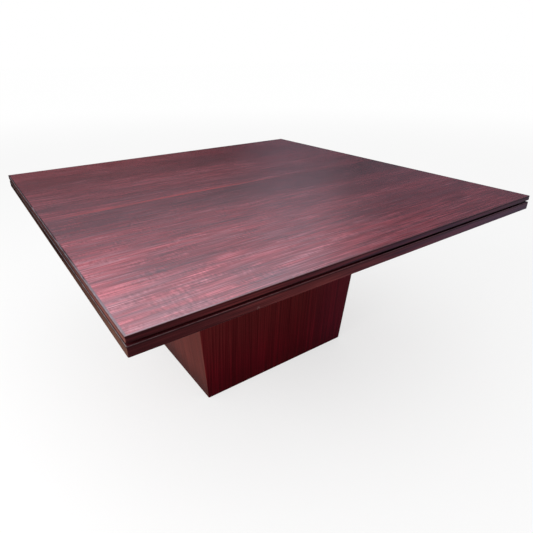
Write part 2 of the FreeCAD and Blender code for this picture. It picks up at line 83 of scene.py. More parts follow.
def distance(tree, place, point):
    """Distance of a place from a point."""
    made = add(tree, "ShaderNodeVectorMath", {0: place, 1: point}, operation="DISTANCE")
    return made.outputs["Value"]


def remap(tree, value, low, high, to_low=0.0, to_high=1.0):
    """Value smoothly mapped from one range to another and held at its ends."""
    inputs = {"Value": value, "From Min": low, "From Max": high, "To Min": to_low, "To Max": to_high}
    made = add(tree, "ShaderNodeMapRange", inputs, interpolation_type="SMOOTHSTEP", clamp=True)
    return made.outputs["Result"]


def rgb(red, green, blue):
    """Opaque linear colour."""
    return (red, green, blue, 1.0)


def grey(level):
    """Opaque neutral colour."""
    return rgb(level, level, level)


def tinted(colour, tint):
    """Colour times a tint."""
    return tuple(level * share for level, share in zip(colour, tint))


def blend(tree, factor, first, second, how="MIX"):
    """Colour between two colours."""
    made = add(tree, "ShaderNodeMix", {0: factor, 6: first, 7: second}, data_type="RGBA", blend_type=how)
    return made.outputs[2]


def ramp(tree, factor, stops):
    """Colour from a ramp of (position, colour) stops."""
    made = add(tree, "ShaderNodeValToRGB", {"Fac": factor})
    elements = made.color_ramp.elements
    while len(elements) < len(stops):
        elements.new(0.5)
    for element, (position, colour) in zip(elements, stops):
        element.position = position
        element.color = colour
    return made.outputs["Color"]


def joined(tree, x, y, z):
    """Vector from three numbers or sockets."""
    return add(tree, "ShaderNodeCombineXYZ", {"X": x, "Y": y, "Z": z}).outputs[0]


def noise(tree, vector, scale=1.0, detail=2.0, roughness=0.5):
    """Level of a noise texture."""
    inputs = {"Vector": vector, "Scale": scale, "Detail": detail, "Roughness": roughness}
    return add(tree, "ShaderNodeTexNoise", inputs, noise_dimensions="3D").outputs["Fac"]


def stretched(tree, grain, length, width, detail=2.0):
    """Noise drawn out along the grain: streaks of about that length and width in metres."""
    along, across, depth = grain
    vector = joined(tree, maths(tree, "DIVIDE", along, length), maths(tree, "DIVIDE", across, width), depth)
    return noise(tree, vector, detail=detail)


def seen_rays(tree):
    """1 for the rays that see a background (camera, glossy, transmission), and 0 for the rest."""
    rays = add(tree, "ShaderNodeLightPath").outputs
    seen = maths(tree, "MAXIMUM", rays["Is Camera Ray"], rays["Is Glossy Ray"])
    return maths(tree, "MAXIMUM", seen, rays["Is Transmission Ray"])


class Surface:
    """A material with one principled shader, and the place on the table as x, y and z."""

    def __init__(self, name):
        self.material = bpy.data.materials.new(name)
        self.material.use_nodes = True
        self.tree = self.material.node_tree
        self.tree.nodes.clear()
        self.shader = add(self.tree, "ShaderNodeBsdfPrincipled")
        output = add(self.tree, "ShaderNodeOutputMaterial")
        self.tree.links.new(self.shader.outputs[0], output.inputs["Surface"])
        coordinates = add(self.tree, "ShaderNodeTexCoord")
        self.place = coordinates.outputs["Object"]
        self.normal = coordinates.outputs["Normal"]
        self.x, self.y, self.z = add(self.tree, "ShaderNodeSeparateXYZ", {0: self.place}).outputs

    def facing(self):
        """How far the surface faces along X, Y and Z."""
        return add(self.tree, "ShaderNodeSeparateXYZ", {0: self.normal}).outputs

    def set(self, **values):
        """Sets the shader's own inputs."""
        for name, value in values.items():
            put(self.tree, self.shader.inputs[name.replace("_", " ")], value)

    def gloss(self, roughness, level):
        """Sets the roughness, and the strength of the gloss."""
        self.set(Roughness=roughness, Specular_IOR_Level=level)

    def bump(self, height, rise, strength):
        """Raises the surface by a height of 0 to 1 times a rise in metres."""
        inputs = {"Strength": strength, "Distance": rise, "Height": height}
        self.set(Normal=add(self.tree, "ShaderNodeBump", inputs).outputs[0])


def stained(tree, colour, where, stain, strength):
    """Colour with a stain over it, where and as strong as said."""
    return blend(tree, times(tree, where, strength), colour, stain)


# Open pores of the mahogany: length and width of the dashes, and the noise levels where they begin and end
PORE_LENGTH = 0.0045
PORE_WIDTH = 0.0004
PORE_LEVELS = (0.60, 0.70)

# Height of the grain's relief
GRAIN_RISE = 0.0002


def open_pores(tree, grain, width=PORE_WIDTH):
    """Pores as short dashes along the grain."""
    return remap(tree, stretched(tree, grain, PORE_LENGTH, width, detail=1.0), *PORE_LEVELS)


def grain_bump(surface, pores, thread, strength):
    """Raises the fine threads of the grain and sinks the pores."""
    relief = scaled(surface.tree, pores, -0.5, times(surface.tree, thread, 0.5))
    surface.bump(relief, GRAIN_RISE, strength)


# Tones of the top's veneer, from dark to light, and the tints of its redder and greyer streaks. The lightest
# tone is partly a painted sheen: paler and pinker.
TOP_TONES = (
    (0.00, rgb(0.036, 0.0115, 0.0150)), (0.25, rgb(0.066, 0.0175, 0.0230)),
    (0.50, rgb(0.126, 0.0270, 0.0365)), (0.75, rgb(0.235, 0.0460, 0.0610)),
    (1.00, rgb(0.400, 0.1050, 0.1300)),
)
REDDER = rgb(1.10, 0.78, 0.80)
GREYER = rgb(0.89, 1.20, 1.17)
WARM_BROWN = rgb(0.024, 0.0060, 0.0030)
STREAK_RED = rgb(0.36, 0.048, 0.053)
SEAM_DARK = rgb(0.040, 0.012, 0.015)
TOP_PORE_DARK = rgb(0.030, 0.009, 0.012)
TOP_PORE_WIDTH = 0.00042
TOP_PORE_STRENGTH = 0.3

# The top's streaks: length, width, strength, and what the near left corner adds to the strength
TOP_STREAKS = {
    "wide": (1.40, 0.040, 0.10, 0.06),
    "ribbon": (0.70, 0.011, 0.16, 0.10),
    "fine": (0.20, 0.0044, 0.31, 0.15),
    "cloud": (0.26, 0.070, 0.20, 0.48),
    "mottle": (0.10, 0.0085, 0.00, 0.55),
}

# Lengths and widths of the rest of the top's figure
BEND_SIZE = (0.90, 0.60)
THREAD_SIZE = (0.12, 0.0021)
RIPPLE_SIZE = (0.0065, 0.020)
RIPPLED_SIZE = (0.11, 0.045)
FLECK_SIZE = (0.045, 0.0065)
RED_SIZE = (0.15, 0.016)

# Ripples, flecks, and redder or greyer streaks: the noise levels where they begin and end, their strength,
# and what the near left corner adds to it. Flecks are stronger where the veneer is rippled.
RIPPLED_LEVELS = (0.44, 0.60)
RIPPLE_STRENGTH = 0.20
RIPPLE_NEAR = 0.55
FLECK_LEVELS = (0.54, 0.72)
FLECK_STRENGTH = 0.03
FLECK_RIPPLED = 0.26
RED_LEVELS = (0.30, 0.66)
RED_STRENGTH = 0.50
RED_NEAR = 0.50

# The finest streaks multiply red, green and blue by powers of the tint: the power of the threads, and of the
# fine streaks
THREAD_TINT = (7.0, 22.0, 20.0)
THREAD_POWER = 1.40
FINE_POWER = 0.28

# How far the grain wanders to the side, and how far apart the leaves and the red streaks lie in the noise
GRAIN_WANDER = 0.030
LEAF_SHIFT = 0.23
RED_SHIFT = 4.0

# Painted light: the veneer is painted lighter towards the near left corner, where the light falls, and it is
# lighter or darker in patches of tone: place, reach, and how much lighter
LIT_CORNER = (-HALF_TOP, -HALF_TOP, TABLE_HEIGHT)
LIT_CORNER_REACH = 1.20
CORNER_PAINTED_LIGHT = 0.22
PATCHES = (
    ((-0.75, -0.45, TABLE_HEIGHT), 0.22, 0.17),
    ((-0.50, -0.66, TABLE_HEIGHT), 0.28, -0.10),
    ((-0.58, -0.41, TABLE_HEIGHT), 0.20, -0.07),
    ((-0.64, 0.15, TABLE_HEIGHT), 0.50, -0.06),
    ((0.68, -0.45, TABLE_HEIGHT), 0.36, 0.08),
)

# Painted shade: the tone falls to the right, over a reach in X; the back left is warmer, over reaches in X
# and Y
RIGHT_REACH = (-0.30, 0.70)
RIGHT_PAINTED_SHADE = -0.10
WARM_REACH_X = (-0.30, 0.45)
WARM_REACH_Y = (-0.10, 0.75)

# Broad dark bands along the top's grain: middle in Y, reach to each side, and how much darker than the level.
# Each is full over the core of its reach.
BAND_LEVEL = 0.62
BAND_CORE = 0.3
DARK_BANDS = (
    (-0.51, 0.095, 0.09),
    (-0.31, 0.090, 0.11),
    (-0.095, 0.150, 0.22),
    (0.105, 0.080, 0.11),
    (0.495, 0.170, 0.11),
)

# The bright red streak: its place in Y, distances over which it ends to each side, and its strength. It fades
# to the left and right, and the fine streaks break it: each a range, and the levels at its ends.
RED_STREAK = 0.022
RED_STREAK_REACH = (0.002, 0.016)
RED_STREAK_STRENGTH = 0.9
RED_STREAK_LEFT = (-0.72, -0.52, 0.40, 1.0)
RED_STREAK_RIGHT = (-0.25, 0.30, 1.0, 0.15)
RED_STREAK_BREAKS = (0.34, 0.56, 0.35, 1.0)

# Seams between the leaves: distances over which the dark line ends, and its strength
SEAM_REACH = (0.00015, 0.0005)
SEAM_STRENGTH = 0.4

# The top's lacquer: its gloss, its roughness, and what the haze and the fine streaks add to that
TOP_GLOSS = 0.70
TOP_ROUGHNESS = 0.11
TOP_HAZE = 0.10
TOP_UNEVEN = 0.05


def top_veneer():
    """Quarter-cut mahogany veneer of the top, with ribbons along X and a satin lacquer."""
    surface = Surface("top_veneer")
    tree = surface.tree

    # Leaves side by side, each a little different from the next
    leaf_place = scaled(tree, surface.y, LEAF_COUNT / LEAF_FIELD, LEAF_COUNT / 2)
    depth = scaled(tree, maths(tree, "FLOOR", leaf_place), LEAF_SHIFT, surface.z)

    # The grain wanders a little to the side along its way
    bend = stretched(tree, (surface.x, surface.y, depth), *BEND_SIZE, detail=1.0)
    across = swing(tree, bend, GRAIN_WANDER, surface.y)
    grain = (surface.x, across, depth)

    # Streaks of several widths over the broad dark bands, all stronger towards the near left corner
    tone = BAND_LEVEL
    for middle, reach, darker in DARK_BANDS:
        band = remap(tree, away(tree, across, middle), BAND_CORE * reach, reach, -darker, 0.0)
        tone = maths(tree, "ADD", tone, band)
    near = remap(tree, distance(tree, surface.place, LIT_CORNER), 0.0, LIT_CORNER_REACH, 1.0, 0.0)
    streaks = {}
    for name, (length, width, strength, near_strength) in TOP_STREAKS.items():
        streaks[name] = stretched(tree, grain, length, width)
        tone = swing(tree, streaks[name], scaled(tree, near, near_strength, strength), tone)

    # Painted light and shade: lighter towards the near left corner and darker to the right, with the patches
    # of tone over that
    tone = scaled(tree, near, CORNER_PAINTED_LIGHT, tone)
    tone = maths(tree, "ADD", tone, remap(tree, surface.x, *RIGHT_REACH, 0.0, RIGHT_PAINTED_SHADE))
    for place, reach, lighter in PATCHES:
        patch = remap(tree, distance(tree, surface.place, place), 0.0, reach, lighter, 0.0)
        tone = maths(tree, "ADD", tone, patch)

    # Ripples across the grain in patches, and short flecks along it
    ripple = stretched(tree, grain, *RIPPLE_SIZE, detail=1.0)
    rippled = remap(tree, stretched(tree, grain, *RIPPLED_SIZE), *RIPPLED_LEVELS)
    rippled = times(tree, rippled, scaled(tree, near, RIPPLE_NEAR, RIPPLE_STRENGTH))
    tone = swing(tree, ripple, rippled, tone)
    fleck = remap(tree, stretched(tree, grain, *FLECK_SIZE), *FLECK_LEVELS)
    tone = scaled(tree, fleck, scaled(tree, rippled, FLECK_RIPPLED, FLECK_STRENGTH), tone)

    # Some streaks are redder and some greyer, most of all towards the near left corner
    red_grain = (surface.x, across, maths(tree, "ADD", depth, RED_SHIFT))
    redness = remap(tree, stretched(tree, red_grain, *RED_SIZE, detail=1.0), *RED_LEVELS)
    redness = swing(tree, redness, scaled(tree, near, RED_NEAR, RED_STRENGTH), 0.5)
    greyer = ramp(tree, tone, [(position, tinted(stop, GREYER)) for position, stop in TOP_TONES])
    redder = ramp(tree, tone, [(position, tinted(stop, REDDER)) for position, stop in TOP_TONES])
    colour = blend(tree, redness, greyer, redder)

    # The finest threads are paler or deeper, and the paler ones less red
    thread = stretched(tree, grain, *THREAD_SIZE)
    shade = swing(tree, streaks["fine"], FINE_POWER, swing(tree, thread, THREAD_POWER, 0.0))
    shade = joined(tree, *(maths(tree, "POWER", tint, shade) for tint in THREAD_TINT))
    colour = blend(tree, 1.0, colour, shade, "MULTIPLY")

    # The back left corner is a warmer brown
    warm = remap(tree, surface.x, *WARM_REACH_X, 1.0, 0.0)
    warm = times(tree, remap(tree, surface.y, *WARM_REACH_Y), warm)
    colour = blend(tree, warm, colour, WARM_BROWN, "ADD")

    # One bright red streak close to the seam in the middle, fading towards both ends
    streak = remap(tree, away(tree, across, RED_STREAK), *RED_STREAK_REACH, 1.0, 0.0)
    fade = remap(tree, surface.x, *RED_STREAK_RIGHT)
    fade = times(tree, fade, remap(tree, surface.x, *RED_STREAK_LEFT))
    broken = remap(tree, streaks["fine"], *RED_STREAK_BREAKS)
    streak = times(tree, times(tree, streak, fade), broken)
    colour = stained(tree, colour, streak, STREAK_RED, RED_STREAK_STRENGTH)

    # Seams between the leaves, as fine dark lines
    from_seam = maths(tree, "PINGPONG", maths(tree, "FRACT", leaf_place), 0.5)
    from_seam = times(tree, from_seam, LEAF_FIELD / LEAF_COUNT)
    seam = remap(tree, from_seam, *SEAM_REACH, 1.0, 0.0)
    colour = stained(tree, colour, seam, SEAM_DARK, SEAM_STRENGTH)

    pores = open_pores(tree, grain, TOP_PORE_WIDTH)
    colour = stained(tree, colour, pores, TOP_PORE_DARK, TOP_PORE_STRENGTH)

    # Lacquer: fine unevenness, and a faint haze of use
    haze = noise(tree, surface.place, scale=5.0, detail=4.0)
    roughness = scaled(tree, streaks["fine"], TOP_UNEVEN, scaled(tree, haze, TOP_HAZE, TOP_ROUGHNESS))
    surface.set(Base_Color=colour)
    surface.gloss(roughness, TOP_GLOSS)
    grain_bump(surface, pores, thread, strength=0.25)
    return surface.material


# Tones of the lippings and rails, by the axis that they run along. Along Y, far_tone is what the far part
# adds to the tone. Along X, a painted bluish sheen is added to the right. On the lippings, the upper face
# goes from one colour to another over upper_reach, in patches, and far_lacquer is the share of lacquer left
# there;
# its near colour is partly a painted sheen. The pale line along the upper edge is partly wear, partly a
# painted glint.
EDGE_TONES = {
    ("lipping", "x"): {
        "dark": rgb(0.022, 0.0026, 0.0042), "light": rgb(0.084, 0.0130, 0.0155),
        "sheen_blue": rgb(0.0, 0.0105, 0.0240), "sheen_blue_reach": (-0.50, 0.25),
        "upper": rgb(0.24, 0.130, 0.155), "upper_far": rgb(0.12, 0.026, 0.034),
        "upper_reach": (-0.68, -0.42), "upper_patches": 0.0, "far_lacquer": 1.0,
        "glint_and_wear": rgb(0.14, 0.08, 0.09), "glint_and_rub": 0.10, "gloss": 0.030, "lacquer_from": 0.78,
    },
    # The lipping along Y is lighter and browner, partly its own wood, partly painted light and reflection
    # from the left
    ("lipping", "y"): {
        "dark": rgb(0.026, 0.0140, 0.0140), "light": rgb(0.165, 0.0640, 0.0540), "far_tone": -0.12,
        "upper": rgb(0.15, 0.090, 0.105), "upper_far": rgb(0.035, 0.014, 0.016),
        "upper_reach": (-0.95, 0.25), "upper_patches": 3.0, "far_lacquer": 0.35,
        "glint_and_wear": rgb(0.28, 0.25, 0.28), "glint_and_rub": 0.55, "gloss": 0.0, "lacquer_from": 0.45,
    },
    ("rail", "x"): {
        "dark": rgb(0.022, 0.0026, 0.0042), "light": rgb(0.084, 0.0150, 0.0165),
        "sheen_blue": rgb(0.010, 0.0160, 0.0360), "sheen_blue_reach": (-0.35, 0.55),
        "glint_and_wear": rgb(0.16, 0.10, 0.11), "glint_and_rub": 0.35, "gloss": 0.030, "lacquer_from": 0.45,
    },
    # The rail along Y is lighter and browner, partly its own wood, partly painted light and reflection from
    # the left
    ("rail", "y"): {
        "dark": rgb(0.016, 0.0070, 0.0060), "light": rgb(0.104, 0.0500, 0.0370), "far_tone": -0.22,
        "glint_and_wear": rgb(0.26, 0.23, 0.25), "glint_and_rub": 0.45, "gloss": 0.0, "lacquer_from": 0.45,
    },
}
# A deep dark for the left end and for painted shade, and the painted shade of the ledge in the slot
DARK_STAIN_AND_SHADE = rgb(0.008, 0.0012, 0.0018)
LEDGE_SHADE = rgb(0.060, 0.0080, 0.0110)
STRETCH_BROWN = rgb(0.050, 0.0110, 0.0095)
SCUFF_TONE = rgb(0.20, 0.12, 0.12)
EDGE_PORE_DARK = rgb(0.008, 0.002, 0.002)
EDGE_PORE_STRENGTH = 0.4

# Streaks of the lippings and rails: place in the noise, length, width and strength. On what faces up they
# lie wider apart than on the sides.
EDGE_LEVEL = 0.45
EDGE_WRAP = 0.8
EDGE_STREAKS = {
    "cloud": (1.0, 0.60, 0.060, 0.9),
    "wide": (0.0, 0.55, 0.014, 0.7),
    "fine": (3.0, 0.22, 0.0036, 0.9),
    "thread": (5.0, 0.10, 0.0013, 0.6),
}
EDGE_PORE_DEPTH = 8.0
UPPER_PATCH_DEPTH = 7.0
UPPER_PATCH_SIZE = (0.070, 0.020)

# Browner stretches of the edge along X: middle, reach to each side, and how strong over the core of the reach
BROWN_CORE = 0.2
BROWN_STRETCHES = {
    "lipping": ((-0.49, 0.17, 0.80), (-0.17, 0.20, 0.55)),
    "rail": ((-0.47, 0.17, 0.50), (-0.16, 0.20, 1.00)),
}

# Along Y, the near end: what it adds to the tone, and its range. Along X, the darkening at the left end and
# the lacquer on the lower rail: each a range, and the levels at its ends. In the slot, the range in X over
# which the painted shade on the ledge turns darker.
NEAR_END_TONE = 0.35
NEAR_END = (-HALF_TOP, -0.25)
DEEP_END = (-HALF_TOP, -0.55, 0.35, 0.0)
RAIL_LACQUER = (-0.70, 0.10, 1.0, 0.25)
LEDGE_DARKER = (-0.25, 0.0)

# Distances from the edges, some with the levels at their ends: the painted shade below the upper edge, the
# painted shade on the edge above the slot, where the ledge begins, and the painted glint and wear on the
# edge, which is patchy
SHADE_BEGIN = (0.0006, 0.0014)
SHADE_END = (0.0030, 0.0060, 0.7, 0.0)
SLOT_EDGE = (0.0008, 0.0030, 0.6, 0.0)
LEDGE_BEGIN = (0.0010, 0.0030)
GLINT_AND_RUB_REACH = (0.0006, 0.0024, 1.0, 0.0)
GLINT_AND_RUB_SCALE = 38.0
GLINT_AND_RUB_PATCHES = (0.34, 0.62, 0.4, 1.0)

# A scuff on the lower front rail: place, reach with the levels at its ends, and the scratches in it
SCUFF = (-0.457, -HALF_TOP, 0.7165)
SCUFF_REACH = (0.001, 0.006, 0.45, 0.0)
SCUFF_SCALE = 420.0
SCUFF_SCRATCHES = (0.42, 0.60)


def edge_wood(part, along_axis, upper_edge_level):
    """Solid mahogany of a rail or lipping, its grain along X or Y, with wear and a painted glint along its
    upper edge, and painted shade just under it.
    """
    surface = Surface(f"{part}_wood_{along_axis}")
    tree = surface.tree
    along, side = (surface.x, surface.y) if along_axis == "x" else (surface.y, surface.x)
    tones = EDGE_TONES[part, along_axis]

    across = scaled(tree, side, EDGE_WRAP, surface.z)
    streaks = {}
    tone = EDGE_LEVEL
    for name, (depth, length, width, strength) in EDGE_STREAKS.items():
        streaks[name] = stretched(tree, (along, across, depth), length, width)
        tone = swing(tree, streaks[name], strength, tone)
    fine = streaks["fine"]
    if along_axis == "y":
        far_tone = remap(tree, along, *NEAR_END, NEAR_END_TONE, tones["far_tone"])
        tone = maths(tree, "ADD", tone, far_tone)
    colour = blend(tree, remap(tree, tone, 0.1, 0.9), tones["dark"], tones["light"])

    # Along X a painted bluish sheen is added to the right, the wood is darkest at the left end, and browner
    # in stretches
    if along_axis == "x":
        sheen_blue = remap(tree, along, *tones["sheen_blue_reach"])
        colour = blend(tree, sheen_blue, colour, tones["sheen_blue"], "ADD")
        colour = blend(tree, remap(tree, along, *DEEP_END), colour, DARK_STAIN_AND_SHADE)
        for middle, reach, strength in BROWN_STRETCHES[part]:
            brown = remap(tree, away(tree, along, middle), BROWN_CORE * reach, reach, strength, 0.0)
            brown = times(tree, brown, remap(tree, fine, 0.3, 0.7))
            colour = blend(tree, brown, colour, STRETCH_BROWN, "ADD")

    # The lower front rail has a scuff
    if part == "rail" and along_axis == "x":
        scratches = remap(tree, noise(tree, surface.place, SCUFF_SCALE), *SCUFF_SCRATCHES)
        scuff = remap(tree, distance(tree, surface.place, SCUFF), *SCUFF_REACH)
        colour = blend(tree, times(tree, scuff, scratches), colour, SCUFF_TONE)

    # Painted shade: the wood is darkest just under the upper edge
    below = maths(tree, "SUBTRACT", upper_edge_level, surface.z)
    shade = times(tree, remap(tree, below, *SHADE_BEGIN), remap(tree, below, *SHADE_END))
    colour = blend(tree, shade, colour, DARK_STAIN_AND_SHADE)

    # Painted shade: above the slot the lipping's lower edge is dark too
    if part == "lipping":
        above = maths(tree, "SUBTRACT", surface.z, LIPPING_FOOT)
        colour = blend(tree, remap(tree, above, *SLOT_EDGE), colour, DARK_STAIN_AND_SHADE)

    # What faces up is lacquered as the veneer is, and on the lipping it has a colour of its own, partly a
    # painted sheen
    upward = remap(tree, surface.facing()[2], tones["lacquer_from"], 0.95)
    lacquered = upward
    if part == "lipping":
        upper_patches = stretched(tree, (along, across, UPPER_PATCH_DEPTH), *UPPER_PATCH_SIZE)
        far = swing(tree, upper_patches, tones["upper_patches"], remap(tree, along, *tones["upper_reach"]))
        far = remap(tree, far, 0.2, 0.8)
        lacquered = times(tree, lacquered, remap(tree, far, 0.0, 1.0, 1.0, tones["far_lacquer"]))
        upper_tone = scaled(tree, fine, 0.7, 0.65)
        upper_tone = joined(tree, upper_tone, upper_tone, upper_tone)
        upper_colour = blend(tree, far, tones["upper"], tones["upper_far"])
        upper_colour = blend(tree, 1.0, upper_colour, upper_tone, "MULTIPLY")
        colour = blend(tree, upward, colour, upper_colour)
    elif along_axis == "x":
        lacquered = times(tree, lacquered, remap(tree, along, *RAIL_LACQUER))

    # Painted shade: the ledge inside the slot is painted dark, less so over its left half
    outward = maths(tree, "MAXIMUM", maths(tree, "ABSOLUTE", surface.x), maths(tree, "ABSOLUTE", surface.y))
    inset = maths(tree, "SUBTRACT", HALF_TOP, outward)
    if part == "rail":
        inner = remap(tree, inset, *LEDGE_BEGIN)
        ledge = blend(tree, remap(tree, surface.x, *LEDGE_DARKER), LEDGE_SHADE, DARK_STAIN_AND_SHADE)
        colour = blend(tree, times(tree, upward, inner), colour, ledge)
        lacquered = times(tree, lacquered, maths(tree, "SUBTRACT", 1.0, inner))

    # Wear and painted glint: a patchy pale line along the upper edge, partly the finish rubbed thin, partly a
    # painted highlight on the rounded edge
    glint_and_rub = maths(tree, "ADD", away(tree, surface.z, upper_edge_level), inset)
    glint_and_rub = remap(tree, glint_and_rub, *GLINT_AND_RUB_REACH)
    patchy = remap(tree, noise(tree, surface.place, GLINT_AND_RUB_SCALE, detail=3.0), *GLINT_AND_RUB_PATCHES)
    colour = stained(tree, colour, times(tree, glint_and_rub, patchy), tones["glint_and_wear"], tones["glint_and_rub"])

    pores = open_pores(tree, (along, across, EDGE_PORE_DEPTH))
    colour = stained(tree, colour, pores, EDGE_PORE_DARK, EDGE_PORE_STRENGTH)
    surface.set(Base_Color=colour, Coat_Weight=lacquered, Coat_Roughness=0.2, Coat_IOR=1.6)
    surface.gloss(scaled(tree, fine, 0.10, 0.36), tones["gloss"])
    grain_bump(surface, pores, streaks["thread"], strength=0.3)
    return surface.material


# Tones of the pedestal's panels, by the axis that they run along, and shares of the stain from dark to light.
# The side panels along Y are lighter and browner, partly their own stain, partly painted light from the left.
PANEL_TONES = {
    "x": {
        "stain": rgb(0.049, 0.0012, 0.0034), "brown": rgb(0.082, 0.0130, 0.0120),
        "stripes": 1.0, "low_shade": 0.25,
    },
    # The side panels' stain is lighter and browner, partly painted light from the left
    "y": {
        "stain": rgb(0.094, 0.0180, 0.0145), "brown": rgb(0.100, 0.0210, 0.0165),
        "stripes": 0.38, "low_shade": 0.50,
    },
}
PANEL_SHARES = ((0.15, 0.55), (0.45, 0.90), (0.60, 1.25), (0.90, 1.90))
PANEL_COOL = rgb(0.0040, 0.0020, 0.0055)
PANEL_LOW = rgb(0.010, 0.0005, 0.0010)
PANEL_PORE_DARK = rgb(0.012, 0.002, 0.003)
PANEL_PORE_STRENGTH = 0.35

# The panels' streaks: length, width and strength. Opposite panels lie apart in the noise.
PANEL_LEVEL = 0.5
PANEL_SHIFT = 1.7
PANEL_WIDE = (1.1, 0.040)
PANEL_WIDE_STRENGTH = 0.35
PANEL_STREAKS = {
    "ribbon": (0.80, 0.0110, 0.7),
    "fine": (0.45, 0.0036, 1.3),
    "thread": (0.16, 0.0013, 0.8),
}

# Where the panels are browner (by height, in the fine streaks, and to the left), cooler, darker, and bare of
# veneer: each a range, some with the levels at its ends
BROWN_HEIGHT = (0.02, 0.45, 0.0, 0.9)
BROWN_FINE = (0.25, 0.70, 0.15, 1.0)
BROWN_LEFT = (-0.40, 0.45, 1.0, 0.55)
COOL_RIGHT = (0.05, 0.40)
LOW_HEIGHT = (0.0, 0.14)
BARE_FACING = (0.15, 0.35, 1.0, 0.0)

# Pressed board of fine chips: noise scale, and tones from dark to light
CHIP_SCALE = 400.0
CHIP_TONES = (
    (0.30, rgb(0.23, 0.14, 0.075)),
    (0.55, rgb(0.40, 0.27, 0.15)),
    (0.75, rgb(0.52, 0.38, 0.23)),
)


def board_chips(surface):
    """Chips of the pressed board."""
    return noise(surface.tree, surface.place, scale=CHIP_SCALE, detail=3.0, roughness=0.65)


def pedestal_veneer(across_axis):
    """Dark mahogany veneer of the pedestal with upright stripes, over a board that is raw inside."""
    surface = Surface(f"pedestal_veneer_{across_axis}")
    tree = surface.tree
    across, side = (surface.x, surface.y) if across_axis == "x" else (surface.y, surface.x)
    flip = maths(tree, "SIGN", side)
    grain = (surface.z, across, times(tree, flip, PANEL_SHIFT))
    tones = PANEL_TONES[across_axis]

    tone = swing(tree, stretched(tree, grain, *PANEL_WIDE), PANEL_WIDE_STRENGTH, PANEL_LEVEL)
    streaks = {}
    for name, (length, width, strength) in PANEL_STREAKS.items():
        streaks[name] = stretched(tree, grain, length, width)
        tone = swing(tree, streaks[name], strength * tones["stripes"], tone)
    fine = streaks["fine"]
    stops = [(position, tinted(tones["stain"], grey(share))) for position, share in PANEL_SHARES]
    colour = ramp(tree, tone, stops)

    # Browner towards the top, most of all at the left, cooler at the right, and darker close to the floor
    brown = times(tree, remap(tree, surface.z, *BROWN_HEIGHT), remap(tree, fine, *BROWN_FINE))
    brown = times(tree, brown, remap(tree, across, *BROWN_LEFT))
    colour = blend(tree, brown, colour, tones["brown"])
    colour = blend(tree, remap(tree, across, *COOL_RIGHT), colour, PANEL_COOL, "ADD")
    low = remap(tree, surface.z, *LOW_HEIGHT, tones["low_shade"], 0.0)
    colour = blend(tree, low, colour, PANEL_LOW)
    pores = open_pores(tree, grain)
    colour = stained(tree, colour, pores, PANEL_PORE_DARK, PANEL_PORE_STRENGTH)

    # Inside, and on the edges above and below, the board under the veneer shows
    facing_x, facing_y, _ = surface.facing()
    outward = times(tree, facing_y if across_axis == "x" else facing_x, flip)
    bare = remap(tree, outward, *BARE_FACING)
    colour = blend(tree, bare, colour, ramp(tree, board_chips(surface), CHIP_TONES))

    roughness = scaled(tree, bare, 0.4, scaled(tree, fine, 0.10, 0.38))
    surface.set(Base_Color=colour)
    surface.gloss(roughness, level=0.008)
    grain_bump(surface, pores, streaks["thread"], strength=0.3)
    return surface.material


# Tones of the plain woods, dark and light
SOFTWOOD = (rgb(0.36, 0.22, 0.11), rgb(0.58, 0.42, 0.24))
BEECH = (rgb(0.42, 0.26, 0.15), rgb(0.60, 0.43, 0.28))
BEARER_STAIN = (rgb(0.040, 0.016, 0.012), rgb(0.090, 0.036, 0.026))
BACKING = (rgb(0.10, 0.040, 0.028), rgb(0.20, 0.085, 0.055))

# Figure of the plain woods: how the growth rings bend and how strong they are, and the fibres
RING_BEND_SIZE = (0.5, 0.15)
RING_WANDER = 0.06
RING_STRENGTH = 0.22
FIBRE_DEPTH = 2.0
FIBRE_SIZE = (0.06, 0.0011)
FIBRE_STRENGTH = 0.9


def plain_wood(name, along_axis, dark, light, ring_width=0.006):
    """Planed wood with growth rings drawn out along X, Y or Z."""
    surface = Surface(name)
    tree = surface.tree
    axes = {"x": surface.x, "y": surface.y, "z": surface.z}
    along = axes.pop(along_axis)
    first, second = axes.values()
    across = maths(tree, "ADD", first, second)
    bend = stretched(tree, (along, first, second), *RING_BEND_SIZE)
    rings = times(tree, swing(tree, bend, RING_WANDER, across), math.tau / ring_width)
    rings = scaled(tree, maths(tree, "SINE", rings), RING_STRENGTH, 0.5)
    fibres = stretched(tree, (along, across, FIBRE_DEPTH), *FIBRE_SIZE)
    tone = swing(tree, fibres, FIBRE_STRENGTH, rings)
    surface.set(Base_Color=blend(tree, remap(tree, tone, 0.15, 0.85), dark, light))
    surface.gloss(scaled(tree, fibres, 0.2, 0.55), level=0.2)
    surface.bump(fibres, rise=0.0004, strength=0.3)
    return surface.material


def core_board():
    """Pressed board of fine chips."""
    surface = Surface("core_board")
    chips = board_chips(surface)
    surface.set(Base_Color=ramp(surface.tree, chips, CHIP_TONES))
    surface.gloss(scaled(surface.tree, chips, 0.2, 0.65), level=0.2)
    surface.bump(chips, rise=0.0004, strength=0.4)
    return surface.material


# Birch plywood: thickness of two plies, size of the grain on its faces, and tones from light to dark
PLY_PAIR = 0.0028
PLY_GRAIN_SIZE = (0.18, 0.006)
PLY_TONES = (
    (0.20, rgb(0.60, 0.45, 0.28)),
    (0.50, rgb(0.50, 0.35, 0.20)),
    (0.90, rgb(0.28, 0.17, 0.09)),
)


